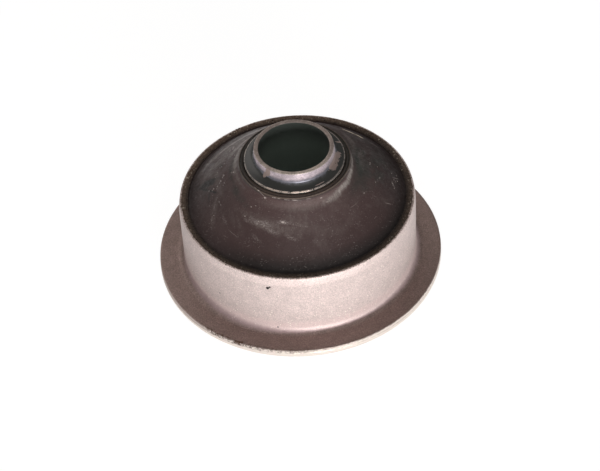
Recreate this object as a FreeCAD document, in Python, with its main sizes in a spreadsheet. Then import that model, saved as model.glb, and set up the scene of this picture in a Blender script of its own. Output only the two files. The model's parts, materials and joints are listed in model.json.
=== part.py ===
import FreeCAD, Part
import os
import Sketcher

# A bonded suspension bush, in millimetres. The Z axis is the axis of the bore, and the origin is the
# centre of the flange's underside. Every piece is a body of revolution, so each profile is drawn in the
# upright plane as radius across and height up, and turned once round the Z axis.

# Driving dimensions: name, value, what it measures
DIMENSIONS = [
    # drawn steel collar
    ("collar_radius", 24.1, "outside of the collar's wall, the press fit in the arm"),
    ("collar_height", 16.85, "flange underside to the steel's top edge"),
    ("sheet_thickness", 1.8, "one sheet makes the wall and the flange"),
    ("flange_width", 5.15, "how far the flange stands out from the wall"),
    ("bend_radius", 1.6, "inside of the bend between wall and flange"),
    ("lead_in_height", 1.75, "height of the drawn-in top of the wall"),
    ("lead_in_depth", 0.24, "how far the top of the wall is drawn in"),
    ("rim_corner", 0.18, "chamfer on the wall's top outer corner"),
    ("rim_fall", 0.25, "fall of the sheet's cut edge towards the rubber"),
    ("rollover", 0.3, "chamfer that stands for the press's rollover on the flange's lower edge"),
    ("flange_edge_break", 0.12, "chamfer on the flange's upper edge"),
    # turned inner sleeve
    ("bore_radius", 7.1, "clearance bore for the bolt"),
    ("bore_chamfer", 0.25, "chamfer at both mouths of the bore"),
    ("sleeve_wall", 3.04, "wall of the sleeve's body"),
    ("sleeve_length", 30.0, "flange underside to the nose's end face"),
    ("nose_wall", 0.9, "wall of the nose at its end face"),
    ("nose_taper", 0.27, "how far the nose spreads down to its foot"),
    ("nose_height", 2.15, "end face down to the shoulder"),
    ("nose_edge_break", 0.1, "chamfer on the end face's outer edge"),
    ("shoulder_drop", 0.7, "fall of the shoulder from the nose to its outer edge"),
    ("shoulder_shelf", 1.04, "width of the shoulder's flatter outer part"),
    ("shelf_fall", 0.23, "fall of that part to the shoulder's outer edge"),
    ("sleeve_foot_chamfer", 0.5, "outer chamfer at the sleeve's lower end"),
    # moulded rubber
    ("land_depth", 0.5, "shoulder's outer edge down to the rubber's land"),
    ("land_width", 0.66, "flat land round the sleeve"),
    ("lip_groove_width", 0.24, "fine groove between land and lip"),
    ("lip_groove_depth", 0.2, "depth of that groove below the land"),
    ("lip_width", 0.2, "crest of the lip"),
    ("lip_drop", 0.06, "lip's crest below the land"),
    ("lip_height", 0.34, "crest of the lip down to the start of the neck"),
    ("lip_edge_break", 0.1, "chamfer on the lip's outer edge"),
    ("neck_lean", 0.09, "how far the neck spreads on its way down"),
    ("neck_height", 0.28, "start of the neck down to the flare"),
    ("flare_width", 0.34, "how far the flare spreads between neck and dome"),
    ("flare_height", 0.51, "height of that flare"),
    ("dome_curve", 105.0, "radius of the dome's nearly straight slope"),
    ("trough_inset", 0.45, "inner edge of the trough's floor inside the collar's inner wall"),
    ("trough_rise", 0.05, "floor of the trough above the inner corner of the steel's cut edge"),
    ("trough_floor", 0.2, "width of the trough's floor"),
    ("skin_thickness", 0.2, "rubber skin over the steel's cut edge"),
    ("skin_lean", 0.15, "width of the slope from the trough's floor to the skin"),
    ("skin_setback", 0.26, "skin's outer edge inside the drawn-in rim"),
    ("skin_edge_break", 0.1, "chamfer on the skin's outer edge"),
    ("foot_height", 1.0, "flange underside to the rubber round the sleeve"),
    ("foot_width", 1.1, "flat end of the rubber round the sleeve"),
    ("recess_rise", 0.2, "roof of the annular recess above the collar's bend"),
    ("recess_slope", 2.4, "width of the sloping side of the recess"),
    ("recess_corner", 0.7, "chamfer between that side and the roof"),
]

# Worked out from the driving dimensions: name, expression
FITS = [
    ("collar_bore_radius", "=collar_radius - sheet_thickness"),
    ("flange_radius", "=collar_radius + flange_width"),
    ("bend_outer_radius", "=bend_radius + sheet_thickness"),
    ("rim_radius", "=collar_radius - lead_in_depth"),
    ("rim_top_radius", "=rim_radius - rim_corner"),
    ("rim_shoulder_height", "=collar_height - rim_corner"),
    ("lead_in_start", "=rim_shoulder_height - lead_in_height"),
    ("rim_inner_height", "=collar_height - rim_fall"),
    ("sleeve_radius", "=bore_radius + sleeve_wall"),
    ("nose_face_radius", "=bore_radius + nose_wall"),
    ("nose_base_radius", "=nose_face_radius + nose_taper"),
    ("shoulder_height", "=sleeve_length - nose_height"),
    ("shoulder_edge_height", "=shoulder_height - shoulder_drop"),
    ("shelf_radius", "=sleeve_radius - shoulder_shelf"),
    ("shelf_height", "=shoulder_edge_height + shelf_fall"),
    ("land_height", "=shoulder_edge_height - land_depth"),
    ("land_edge_radius", "=sleeve_radius + land_width"),
    ("groove_centre_radius", "=land_edge_radius + lip_groove_width / 2"),
    ("groove_height", "=land_height - lip_groove_depth"),
    ("lip_start_radius", "=land_edge_radius + lip_groove_width"),
    ("lip_radius", "=lip_start_radius + lip_width"),
    ("lip_top_height", "=land_height - lip_drop"),
    ("neck_top_height", "=lip_top_height - lip_height"),
    ("neck_base_radius", "=lip_radius + neck_lean"),
    ("neck_base_height", "=neck_top_height - neck_height"),
    ("dome_top_radius", "=neck_base_radius + flare_width"),
    ("dome_top_height", "=neck_base_height - flare_height"),
    ("trough_start_radius", "=collar_bore_radius - trough_inset"),
    ("trough_end_radius", "=trough_start_radius + trough_floor"),
    ("trough_height", "=rim_inner_height + trough_rise"),
    ("skin_start_radius", "=trough_end_radius + skin_lean"),
    ("skin_start_height", "=rim_inner_height + skin_thickness"),
    ("skin_edge_radius", "=rim_radius - skin_setback"),
    ("rim_slope", "=rim_fall / (rim_top_radius - collar_bore_radius)"),
    ("skin_foot_height", "=rim_inner_height + rim_slope * (skin_edge_radius - collar_bore_radius)"),
    ("skin_top_height", "=collar_height + skin_thickness"),
    ("foot_edge_radius", "=sleeve_radius + foot_width"),
    ("recess_start_radius", "=foot_edge_radius + recess_slope"),
    ("recess_height", "=bend_outer_radius + recess_rise"),
]

SHEET = "sizes"
FULL_TURN = 360
MATCH = 1e-6


def make_sheet(doc):
    """Puts the driving dimensions and the sizes worked out from them on one sheet."""
    sheet = doc.addObject("Spreadsheet::Sheet", SHEET)
    rows = [(name, str(value), note) for name, value, note in DIMENSIONS]
    rows += [(name, formula, "worked out") for name, formula in FITS]
    for number, (name, content, note) in enumerate(rows, start=1):
        sheet.set(f"A{number}", name)
        sheet.set(f"B{number}", content)
        sheet.set(f"C{number}", note)
        sheet.setAlias(f"B{number}", name)
    doc.recompute()
    return sheet


def size(doc, name):
    """One size of the sheet as a number; a point on the base line has no size of its own."""
    return float(getattr(doc.getObject(SHEET), name)) if name else 0.0


def origin_plane(body, role):
    """One of the body's own origin planes."""
    for feature in body.Origin.OriginFeatures:
        if feature.Role == role:
            return feature
    raise ValueError(f"{body.Name} has no {role}")


def bind(sketch, constraint, name, number):
    """Adds a constraint bound to a size of the sheet, and names it after that size and its corner."""
    row = sketch.addConstraint(constraint)
    sketch.renameConstraint(row, f"{name}_at_{number}")
    sketch.setExpression(f"Constraints[{row}]", f"{SHEET}.{name}")


def arc_between(start, end, radius):
    """The arc of this radius from one corner to the next, with its centre to the left of the way."""
    chord = end - start
    left = FreeCAD.Vector(-chord.y, chord.x, 0).normalize()
    reach = (radius ** 2 - (chord.Length / 2) ** 2) ** 0.5
    circle = Part.Circle((start + end) * 0.5 + left * reach, FreeCAD.Vector(0, 0, 1), radius)
    return Part.ArcOfCircle(circle, circle.parameter(start), circle.parameter(end))


def draw_profile(doc, body, name, corners, arcs=None):
    """Draws a closed half section through its corners, each bound to a radius and a height of the sheet.

    corners: (radius, height) names in order anticlockwise round the section; None is a height of zero.
    arcs: corner to radius name, where the edge that leaves the corner bulges out of the section.
    """
    arcs = arcs or {}
    sketch = body.newObject("Sketcher::SketchObject", name)
    sketch.AttachmentSupport = [(origin_plane(body, "XZ_Plane"), "")]
    sketch.MapMode = "FlatFace"
    points = [FreeCAD.Vector(size(doc, across), size(doc, up), 0) for across, up in corners]
    for number, start in enumerate(points):
        end = points[(number + 1) % len(points)]
        corner = corners[number]
        if corner in arcs:
            edge = arc_between(start, end, size(doc, arcs[corner]))
        else:
            edge = Part.LineSegment(start, end)
        sketch.addGeometry(edge, False)
    for number in range(len(points)):
        before = (number - 1) % len(points)
        sketch.addConstraint(Sketcher.Constraint("Coincident", before, 2, number, 1))
    for corner, radius_name in arcs.items():
        number = corners.index(corner)
        bind(sketch, Sketcher.Constraint("Radius", number, size(doc, radius_name)), radius_name, number)
    for number, (across, up) in enumerate(corners):
        bind(sketch, Sketcher.Constraint("DistanceX", -1, 1, number, 1, size(doc, across)), across, number)
        if up is None:
            sketch.addConstraint(Sketcher.Constraint("PointOnObject", number, 1, -1))
        else:
            bind(sketch, Sketcher.Constraint("DistanceY", -1, 1, number, 1, size(doc, up)), up, number)
    return sketch


def turn_profile(body, sketch, name):
    """Turns a half section once round the bush's axis."""
    turned = body.newObject("PartDesign::Revolution", name)
    turned.Profile = sketch
    turned.ReferenceAxis = (sketch, ["V_Axis"])
    turned.Angle = FULL_TURN
    sketch.Visibility = False
    return turned


def edge_rings(doc, feature, corners):
    """Names of the ring-shaped edges of a feature that run through these corners of its section."""
    names = []
    for across, up in corners:
        found = [f"Edge{number}" for number, edge in enumerate(feature.Shape.Edges, start=1)
                 if isinstance(edge.Curve, Part.Circle)
                 and abs(edge.Curve.Radius - size(doc, across)) < MATCH
                 and abs(edge.Curve.Center.z - size(doc, up)) < MATCH
                 and abs(edge.Curve.Axis.z) > 1 - MATCH]
        if len(found) != 1:
            raise ValueError(f"{feature.Name}: {len(found)} edges at {across}, {up}")
        names += found
    return names


def dress_edges(doc, body, kind, name, corners, size_name):
    """Rounds or chamfers the ring edges at these corners of the body's latest shape."""
    doc.recompute()
    base = body.Tip
    dressed = body.newObject(f"PartDesign::{kind}", name)
    dressed.Base = (base, edge_rings(doc, base, corners))
    dressed.setExpression("Radius" if kind == "Fillet" else "Size", f"{SHEET}.{size_name}")
    return dressed


def make_outer_collar(doc):
    """The drawn cup: a straight wall with a drawn-in top, bent out into a flat flange."""
    body = doc.addObject("PartDesign::Body", "outer_collar")
    heel = ("collar_bore_radius", None)
    flange_low = ("flange_radius", None)
    flange_high = ("flange_radius", "sheet_thickness")
    bend = ("collar_radius", "sheet_thickness")
    corners = [
        heel,
        flange_low,
        flange_high,
        bend,
        ("collar_radius", "lead_in_start"),
        ("rim_radius", "rim_shoulder_height"),
        ("rim_top_radius", "collar_height"),
        ("collar_bore_radius", "rim_inner_height"),
    ]
    section = draw_profile(doc, body, "collar_section", corners)
    turn_profile(body, section, "collar_turn")
    dress_edges(doc, body, "Fillet", "bend_inside", [bend], "bend_radius")
    dress_edges(doc, body, "Fillet", "bend_outside", [heel], "bend_outer_radius")
    dress_edges(doc, body, "Chamfer", "pressed_edge", [flange_low], "rollover")
    dress_edges(doc, body, "Chamfer", "flange_edge", [flange_high], "flange_edge_break")
    return body


def make_inner_sleeve(doc):
    """The turned tube: a plain body, a sloping shoulder and a slightly tapered nose."""
    body = doc.addObject("PartDesign::Body", "inner_sleeve")
    bore_low = ("bore_radius", None)
    foot = ("sleeve_radius", None)
    nose_edge = ("nose_face_radius", "sleeve_length")
    bore_high = ("bore_radius", "sleeve_length")
    corners = [
        bore_low,
        foot,
        ("sleeve_radius", "shoulder_edge_height"),
        ("shelf_radius", "shelf_height"),
        ("nose_base_radius", "shoulder_height"),
        nose_edge,
        bore_high,
    ]
    section = draw_profile(doc, body, "sleeve_section", corners)
    turn_profile(body, section, "sleeve_turn")
    dress_edges(doc, body, "Chamfer", "nose_edge", [nose_edge], "nose_edge_break")
    dress_edges(doc, body, "Chamfer", "bore_mouths", [bore_low, bore_high], "bore_chamfer")
    dress_edges(doc, body, "Chamfer", "sleeve_foot", [foot], "sleeve_foot_chamfer")
    return body


def make_rubber_body(doc):
    """The moulding between the two steels: dome, neck, lip and land above, a shallow recess below."""
    body = doc.addObject("PartDesign::Body", "rubber_body")
    recess = ("recess_start_radius", "recess_height")
    skin_edge = ("skin_edge_radius", "skin_top_height")
    trough = ("trough_start_radius", "trough_height")
    lip_edge = ("lip_radius", "lip_top_height")
    corners = [
        ("sleeve_radius", "foot_height"),
        ("foot_edge_radius", "foot_height"),
        recess,
        ("collar_bore_radius", "recess_height"),
        ("collar_bore_radius", "rim_inner_height"),
        ("skin_edge_radius", "skin_foot_height"),
        skin_edge,
        ("skin_start_radius", "skin_start_height"),
        ("trough_end_radius", "trough_height"),
        trough,
        ("dome_top_radius", "dome_top_height"),
        ("neck_base_radius", "neck_base_height"),
        ("lip_radius", "neck_top_height"),
        lip_edge,
        ("lip_start_radius", "lip_top_height"),
        ("groove_centre_radius", "groove_height"),
        ("land_edge_radius", "land_height"),
        ("sleeve_radius", "land_height"),
    ]
    section = draw_profile(doc, body, "rubber_section", corners, arcs={trough: "dome_curve"})
    turn_profile(body, section, "rubber_turn")
    dress_edges(doc, body, "Chamfer", "skin_edge", [skin_edge], "skin_edge_break")
    dress_edges(doc, body, "Chamfer", "lip_edge", [lip_edge], "lip_edge_break")
    dress_edges(doc, body, "Chamfer", "recess_edge", [recess], "recess_corner")
    return body


def check(doc, bodies):
    """Stops if a feature failed or a piece is not one sound solid."""
    for item in doc.Objects:
        if "Invalid" in item.State or "Error" in item.State:
            raise RuntimeError(f"{item.Name} failed: {item.State}")
        if item.isDerivedFrom("Sketcher::SketchObject") and not item.FullyConstrained:
            raise RuntimeError(f"{item.Name} is not fully constrained")
    for body in bodies:
        shape = body.Shape
        if shape.isNull() or not shape.isValid() or len(shape.Solids) != 1:
            raise RuntimeError(f"{body.Label} is not one sound solid")


def main():
    doc = FreeCAD.newDocument("bush")
    make_sheet(doc)
    bodies = [make_outer_collar(doc), make_rubber_body(doc), make_inner_sleeve(doc)]
    for body in bodies:
        body.Label = body.Name
        body.Placement = FreeCAD.Placement()
    doc.recompute()
    check(doc, bodies)
    os.makedirs("parts", exist_ok=True)
    for body in bodies:
        body.Shape.exportStep(f"parts/{body.Label}.step")
        box = body.Shape.BoundBox
        print(f"{body.Label}: volume {body.Shape.Volume:.1f} mm3, "
              f"height {box.ZMin:.2f} to {box.ZMax:.2f}, width {box.XLength:.2f}")


main()
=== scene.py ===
import json
import math
from types import SimpleNamespace

import bmesh
import bpy
from mathutils import Matrix, Vector


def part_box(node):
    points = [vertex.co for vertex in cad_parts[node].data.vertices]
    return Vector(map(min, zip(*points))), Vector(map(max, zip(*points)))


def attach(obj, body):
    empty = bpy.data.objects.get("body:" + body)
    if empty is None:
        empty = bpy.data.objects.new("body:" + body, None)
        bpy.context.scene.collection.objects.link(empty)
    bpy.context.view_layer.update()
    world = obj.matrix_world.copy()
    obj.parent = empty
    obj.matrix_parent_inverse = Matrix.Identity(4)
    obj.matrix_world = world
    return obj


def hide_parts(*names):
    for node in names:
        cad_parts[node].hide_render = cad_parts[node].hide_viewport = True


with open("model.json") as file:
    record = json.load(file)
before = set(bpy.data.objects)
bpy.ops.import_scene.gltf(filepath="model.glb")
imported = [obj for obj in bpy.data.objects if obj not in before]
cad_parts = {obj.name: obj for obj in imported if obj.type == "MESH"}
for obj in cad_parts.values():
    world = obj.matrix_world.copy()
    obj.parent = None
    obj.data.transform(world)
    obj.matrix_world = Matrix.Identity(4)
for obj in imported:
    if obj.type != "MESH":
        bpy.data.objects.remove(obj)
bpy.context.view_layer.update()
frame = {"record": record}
mm = 0.001
mounts = {mount["name"]: mount for mount in frame["record"]["mounts"]}
collarBox = [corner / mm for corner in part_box("outer_collar")]
rubberBox = [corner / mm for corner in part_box("rubber_body")]
sleeveBox = [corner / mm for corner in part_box("inner_sleeve")]
print("frame loaded")


# node maths: a wire is one output of a node, and sums and products of wires make the nodes for them

def forward(operation):
    return lambda wire, other: calc(operation, wire, other)


def backward(operation):
    return lambda wire, other: calc(operation, other, wire)


class Wire:
    def __init__(self, socket):
        self.socket = socket

    __add__, __radd__ = forward("ADD"), backward("ADD")
    __sub__, __rsub__ = forward("SUBTRACT"), backward("SUBTRACT")
    __mul__, __rmul__ = forward("MULTIPLY"), backward("MULTIPLY")
    __truediv__, __pow__ = forward("DIVIDE"), forward("POWER")


class Wires:
    def __init__(self, node):
        self.outputs = node.outputs

    def __getitem__(self, key):
        return Wire(self.outputs[key])


def setInput(socket, value):
    if isinstance(value, Wire):
        socket.id_data.links.new(value.socket, socket)
    else:
        socket.default_value = value


def addNode(tree, kind, inputs=None, **settings):
    made = tree.nodes.new(kind)
    for name, value in settings.items():
        setattr(made, name, value)
    for key, value in (inputs or {}).items():
        setInput(made.inputs[key], value)
    return Wires(made)


def wired(kind, inputs, **settings):
    # a node that joins the tree of the wires it is given
    tree = next(value.socket.id_data for value in inputs.values() if isinstance(value, Wire))
    return addNode(tree, kind, inputs, **settings)


def calc(operation, first, second=0.0, third=0.0):
    return wired("ShaderNodeMath", {0: first, 1: second, 2: third}, operation=operation)[0]


def addVectors(first, second):
    return wired("ShaderNodeVectorMath", {0: first, 1: second}, operation="ADD")[0]


def scaled(vector, factor):
    return wired("ShaderNodeVectorMath", {0: vector, "Scale": factor}, operation="SCALE")[0]


def combine(across=0.0, along=0.0, up=0.0):
    return wired("ShaderNodeCombineXYZ", {0: across, 1: along, 2: up})[0]


def remap(value, fromLow, fromHigh, toLow=0.0, toHigh=1.0, smooth=False):
    inputs = dict(zip(("Value", "From Min", "From Max", "To Min", "To Max"),
                      (value, fromLow, fromHigh, toLow, toHigh)))
    return wired("ShaderNodeMapRange", inputs, interpolation_type="SMOOTHSTEP" if smooth else "LINEAR")[0]


def mixColour(factor, first, second, blend="MIX"):
    return wired("ShaderNodeMix", {0: factor, 6: first, 7: second}, data_type="RGBA", blend_type=blend)[2]


def mixValue(factor, first, second):
    return wired("ShaderNodeMix", {0: factor, 2: first, 3: second}, data_type="FLOAT")[0]


def noise(vector, scale, detail=2.0, roughness=0.5, distortion=0.0):
    return wired("ShaderNodeTexNoise", {"Vector": vector, "Scale": scale, "Detail": detail,
                                        "Roughness": roughness, "Distortion": distortion})[0]


def uneven(vector, scale, detail, roughness, low, high, toLow=0.0, toHigh=1.0):
    return remap(noise(vector, scale, detail, roughness), low, high, toLow, toHigh)


def atLeast(*masks):
    most = masks[0]
    for mask in masks[1:]:
        most = calc("MAXIMUM", most, mask)
    return most


def grey(tone):
    return wired("ShaderNodeCombineColor", {0: tone, 1: tone, 2: tone})[0]


def shaded(colour, *tones):
    return mixColour(1.0, colour, grey(math.prod(tones[1:], start=tones[0])), "MULTIPLY")


def layers(base, *steps):
    for mask, colour in steps:
        base = mixColour(mask, base, colour)
    return base


def palette(**colours):
    # colours are given as they show on a screen, from 0 to 255
    def linear(value):
        return value / 255 / 12.92 if value <= 10 else ((value / 255 + 0.055) / 1.055) ** 2.4

    return SimpleNamespace(**{name: (*map(linear, colour), 1.0) for name, colour in colours.items()})


socketKinds = {float: "NodeSocketFloat", int: "NodeSocketInt"}


def newGroup(name, inputs, outputs, build, kind="ShaderNodeTree", outputKind="NodeSocketFloat"):
    # inputs: a default value for each number, or a kind of socket; build: given the inputs, says each output
    group = bpy.data.node_groups.new(name, kind)
    for title, value in inputs.items():
        bare = isinstance(value, str)
        item = group.interface.new_socket(title, in_out="INPUT",
                                          socket_type=value if bare else socketKinds[type(value)])
        if not bare:
            item.default_value = value
    for title in outputs:
        group.interface.new_socket(title, in_out="OUTPUT", socket_type=outputKind)
    given = Wires(group.nodes.new("NodeGroupInput"))
    result = group.nodes.new("NodeGroupOutput").inputs
    for title, value in zip(outputs, build(*(given[title] for title in inputs))):
        setInput(result[title], value)
    return group


def useGroup(group, *values):
    return wired("ShaderNodeGroup", {number: value for number, value in enumerate(values)}, node_tree=group)


# shader groups that more than one finish uses; radii and heights are in millimetres, angles in degrees

halfTurn, fullTurn = 180.0, 360.0


def away(angle, centre):
    # degrees from the centre, from -180 to 180
    return calc("FLOORED_MODULO", angle - centre + halfTurn, fullTurn) - halfTurn


def buildPlace(vector):
    parts = wired("ShaderNodeSeparateXYZ", {0: vector})
    across = calc("SQRT", parts[0] ** 2.0 + parts[1] ** 2.0)
    turn = calc("DEGREES", calc("ARCTAN2", parts[1], parts[0]))
    return across / mm, parts[2] / mm, calc("FLOORED_MODULO", turn, fullTurn)


def buildBand(value, low, high, soft):
    rise = remap(value, low - soft, low + soft, smooth=True)
    fall = remap(value, high - soft, high + soft, 1.0, 0.0, smooth=True)
    return [rise * fall]


def buildSector(angle, centre, half, soft):
    return [remap(calc("ABSOLUTE", away(angle, centre)), half - soft, half + soft, 1.0, 0.0, smooth=True)]


def buildMark(radius, height, angle, tear, markRadius, markHeight, markAngle, long, wide, lean, soft, ragged):
    # millimetres down the surface and round it, from the middle of the mark
    down = (radius - markRadius) - (height - markHeight)
    around = calc("RADIANS", away(angle, markAngle)) * markRadius
    cosine, sine = calc("COSINE", lean), calc("SINE", lean)
    along, across = down * cosine + around * sine, around * cosine - down * sine
    reach = calc("SQRT", (along / long) ** 2.0 + (across / wide) ** 2.0)
    edge = calc("MULTIPLY_ADD", tear, ragged * 4.0, reach)
    return [remap(edge, 1.0 - soft, 1.0 + soft, 1.0, 0.0, smooth=True)]


def buildStreaks(radius, height, angle, around, down, detail):
    turn = calc("RADIANS", angle)
    drawn = combine(calc("COSINE", turn) * around, calc("SINE", turn) * around, (radius - height) * down)
    return [noise(drawn, 1.0, detail, 0.6)]


def buildGrain(vector, scale, mottleScale):
    return noise(vector, scale, 3.0, 0.65), noise(vector, mottleScale, 4.0, 0.55)


def buildSpecks(vector, scale, share, size):
    cells = wired("ShaderNodeTexVoronoi", {"Vector": vector, "Scale": scale})
    draws = wired("ShaderNodeSeparateColor", {0: cells["Color"]})
    reach = size * (0.35 + draws[1])
    dot = remap(cells["Distance"], reach * 0.5, reach, 1.0, 0.0, smooth=True)
    return [calc("LESS_THAN", draws[0], share) * dot]


onSurface = {"Radius": 0.0, "Height": 0.0, "Angle": 0.0}
placeGroup = newGroup("placeOnBush", {"Vector": "NodeSocketVector"}, list(onSurface), buildPlace)
bandGroup = newGroup("softBand", {"Value": 0.0, "Low": 0.0, "High": 1.0, "Soft": 0.1}, ["Mask"], buildBand)
sectorGroup = newGroup("softSector", {"Angle": 0.0, "Centre": 0.0, "Half Width": 10.0, "Soft": 5.0}, ["Mask"],
                       buildSector)
markGroup = newGroup("raggedMark", {**onSurface, "Tear": 0.0, "Mark Radius": 10.0, "Mark Height": 10.0,
                                    "Mark Angle": 0.0, "Long": 1.0, "Wide": 1.0, "Lean": 0.0, "Soft": 0.2,
                                    "Ragged": 0.5}, ["Mask"], buildMark)
streakGroup = newGroup("surfaceStreaks", {**onSurface, "Around": 10.0, "Down": 1.0, "Detail": 3.0},
                       ["Streak"], buildStreaks)
grainGroup = newGroup("fineGrain", {"Vector": "NodeSocketVector", "Scale": 4000.0, "Mottle Scale": 500.0},
                      ["Grain", "Mottle"], buildGrain)
speckGroup = newGroup("looseSpecks", {"Vector": "NodeSocketVector", "Scale": 900.0, "Share": 0.1,
                                      "Size": 0.12}, ["Mask"], buildSpecks)


def band(value, low, high, soft):
    return useGroup(bandGroup, value, low, high, soft)[0]


def specks(vector, scale, share, size):
    return useGroup(speckGroup, vector, scale, share, size)[0]


def streaks(at, around, down, detail=3.0):
    return useGroup(streakGroup, at.radius, at.height, at.angle, around, down, detail)[0]


def dab(place, size, strength=1.0, soft=0.2, ragged=0.3, fine=True, lean=0.0):
    # a mark at a radius, a height and an angle
    return {"place": place, "shape": (*size, lean, soft, ragged), "strength": strength, "fine": fine}


def stroke(start, end, width, strength=1.0, soft=0.2, ragged=0.3, fine=False):
    # a mark drawn from one place to another
    down = (end[0] - start[0]) - (end[1] - start[1])
    turn = (end[2] - start[2] + 180) % 360 - 180
    middle = ((start[0] + end[0]) / 2, (start[1] + end[1]) / 2, (start[2] + turn / 2) % 360)
    around = math.radians(turn) * middle[0]
    size = (math.hypot(down, around) / 2 + width, width)
    return dab(middle, size, strength, soft, ragged, fine, math.atan2(around, down))


def marks(at, found):
    masks = []
    for mark in found:
        tear = at.fineTear if mark["fine"] else at.tear
        made = useGroup(markGroup, at.radius, at.height, at.angle, tear, *mark["place"], *mark["shape"])
        masks.append(made[0] * mark["strength"])
    return atLeast(*masks)


def newFinish(name, sides):
    # sides: places round the bush, each with its middle, half width and softness
    finish = bpy.data.materials.new(name)
    finish.use_nodes = True
    tree = finish.node_tree
    tree.nodes.clear()
    shader = tree.nodes.new("ShaderNodeBsdfPrincipled")
    addNode(tree, "ShaderNodeOutputMaterial", {"Surface": Wires(shader)[0]})
    vector = addNode(tree, "ShaderNodeTexCoord")["Object"]
    place = useGroup(placeGroup, vector)
    at = SimpleNamespace(vector=vector, radius=place[0], height=place[1], angle=place[2],
                         tear=noise(vector, 1100.0, 4.0, 0.65) - 0.5,
                         fineTear=noise(vector, 3200.0, 3.0, 0.6) - 0.5)
    masks = {title: useGroup(sectorGroup, at.angle, *side)[0] for title, side in sides.items()}
    return finish, shader, at, SimpleNamespace(**masks)


def setShader(shader, colour, roughness, normal, metallic=0.0):
    inputs = {"Base Color": colour, "Roughness": roughness, "Normal": normal, "Metallic": metallic}
    for title, value in inputs.items():
        setInput(shader.inputs[title], value)


def bump(height, distance, strength, under=None):
    inputs = {"Height": height, "Distance": distance * mm, "Strength": strength}
    return wired("ShaderNodeBump", inputs if under is None else {**inputs, "Normal": under})[0]


# section drawing, in millimetres: radius across, height up

def arcPoints(centre, radius, start, end, count):
    turns = [math.radians(start + (end - start) * step / count) for step in range(count + 1)]
    return [(centre[0] + radius * math.cos(turn), centre[1] + radius * math.sin(turn)) for turn in turns]


def bowPoints(start, end, radius, side, count):
    # an arc of this radius between two places, with its centre on the left (1) or the right (-1) of the way
    start, end = Vector(start), Vector(end)
    chord = end - start
    left = Vector((-chord.y, chord.x)).normalized() * side
    centre = (start + end) / 2 + left * math.sqrt(radius ** 2 - (chord.length / 2) ** 2)
    turns = [math.degrees(math.atan2(point.y - centre.y, point.x - centre.x)) for point in (start, end)]
    return arcPoints(centre, radius, *turns, count)


def linePoints(start, end, count):
    return [(start[0] + (end[0] - start[0]) * step / count, start[1] + (end[1] - start[1]) * step / count)
            for step in range(count + 1)]


def roundCorner(before, corner, after, radius, count=4):
    here, back, ahead = Vector(corner), Vector(before), Vector(after)
    toBack, toAhead = (back - here).normalized(), (ahead - here).normalized()
    half = toBack.angle(toAhead) / 2
    reach = min(radius / math.tan(half), (back - here).length * 0.48, (ahead - here).length * 0.48)
    first, last = here + toBack * reach, here + toAhead * reach
    shares = [step / count for step in range(count + 1)]
    return [tuple(first * (1 - share) ** 2 + here * 2 * share * (1 - share) + last * share ** 2)
            for share in shares]


def roundedSection(corners):
    section = []
    for number, (across, up, radius) in enumerate(corners):
        before = corners[number - 1][:2]
        after = corners[(number + 1) % len(corners)][:2]
        section += roundCorner(before, (across, up), after, radius) if radius else [(across, up)]
    return section


def thickened(section, longest):
    filled = []
    for point, after in zip(section[:-1], section[1:]):
        count = max(1, math.ceil(math.dist(point, after) / longest))
        filled += linePoints(point, after, count)[:-1]
    return filled + [section[-1]]


# the tree that turns a section: each row of a grid takes its radius and height from one point of the section

def finished(geometry, finish):
    whole = wired("GeometryNodeRealizeInstances", {"Geometry": geometry})[0]
    return [wired("GeometryNodeSetMaterial", {"Geometry": whole, "Material": finish})[0]]


def position(tree):
    return addNode(tree, "GeometryNodeInputPosition")[0]


def buildTurn(section, steps, tearDepth, tearScale, wanderDepth, wanderScale, liftDepth, liftScale, finish):
    tree = section.socket.id_data
    rows = wired("GeometryNodeAttributeDomainSize", {0: section})["Point Count"]
    grid = wired("GeometryNodeMeshGrid", {"Size X": 1.0, "Size Y": 1.0, "Vertices X": steps + 1.0,
                                          "Vertices Y": rows + 1.0})["Mesh"]
    flat = wired("ShaderNodeSeparateXYZ", {0: position(tree)})
    turn = (flat[0] + 0.5) * math.tau
    row = calc("FLOORED_MODULO", calc("ROUND", (flat[1] + 0.5) * rows), rows)

    def sampled(value, kind):
        inputs = {"Geometry": section, "Value": value, "Index": row}
        return wired("GeometryNodeSampleIndex", inputs, data_type=kind)[0]

    def weight(name):
        named = addNode(tree, "GeometryNodeInputNamedAttribute", {"Name": name}, data_type="FLOAT")
        return sampled(named[0], "FLOAT")

    corner = wired("ShaderNodeSeparateXYZ", {0: sampled(position(tree), "FLOAT_VECTOR")})
    around = combine(calc("COSINE", turn), calc("SINE", turn))
    place = addVectors(scaled(around, corner[0]), combine(up=corner[2]))
    # the torn places move in and out along the radius, a little at two scales
    ragged = (noise(place, tearScale, 3.0, 0.6) - 0.5) * tearDepth
    slow = (noise(scaled(around, 0.02), wanderScale, 1.0, 0.5) - 0.5) * wanderDepth
    moved = addVectors(place, scaled(around, (ragged + slow) * weight("tear")))
    lifted = (noise(place, liftScale, 3.0, 0.65) - 0.5) * liftDepth * weight("lift")
    moved = addVectors(moved, combine(up=lifted))
    turned = wired("GeometryNodeSetPosition", {"Geometry": grid, "Position": moved})[0]
    closed = wired("GeometryNodeMergeByDistance", {"Geometry": turned, "Distance": 2e-7})[0]
    return finished(wired("GeometryNodeSetShadeSmooth", {"Geometry": closed})[0], finish)


turnTree = newGroup("turnedSection", {
    "Section": "NodeSocketGeometry", "Steps": 720, "Tear Depth": 0.0, "Tear Scale": 1500.0,
    "Wander Depth": 0.0, "Wander Scale": 60.0, "Lift Depth": 0.0, "Lift Scale": 2600.0,
    "Finish": "NodeSocketMaterial"}, ["Geometry"], buildTurn, "GeometryNodeTree", "NodeSocketGeometry")


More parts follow.
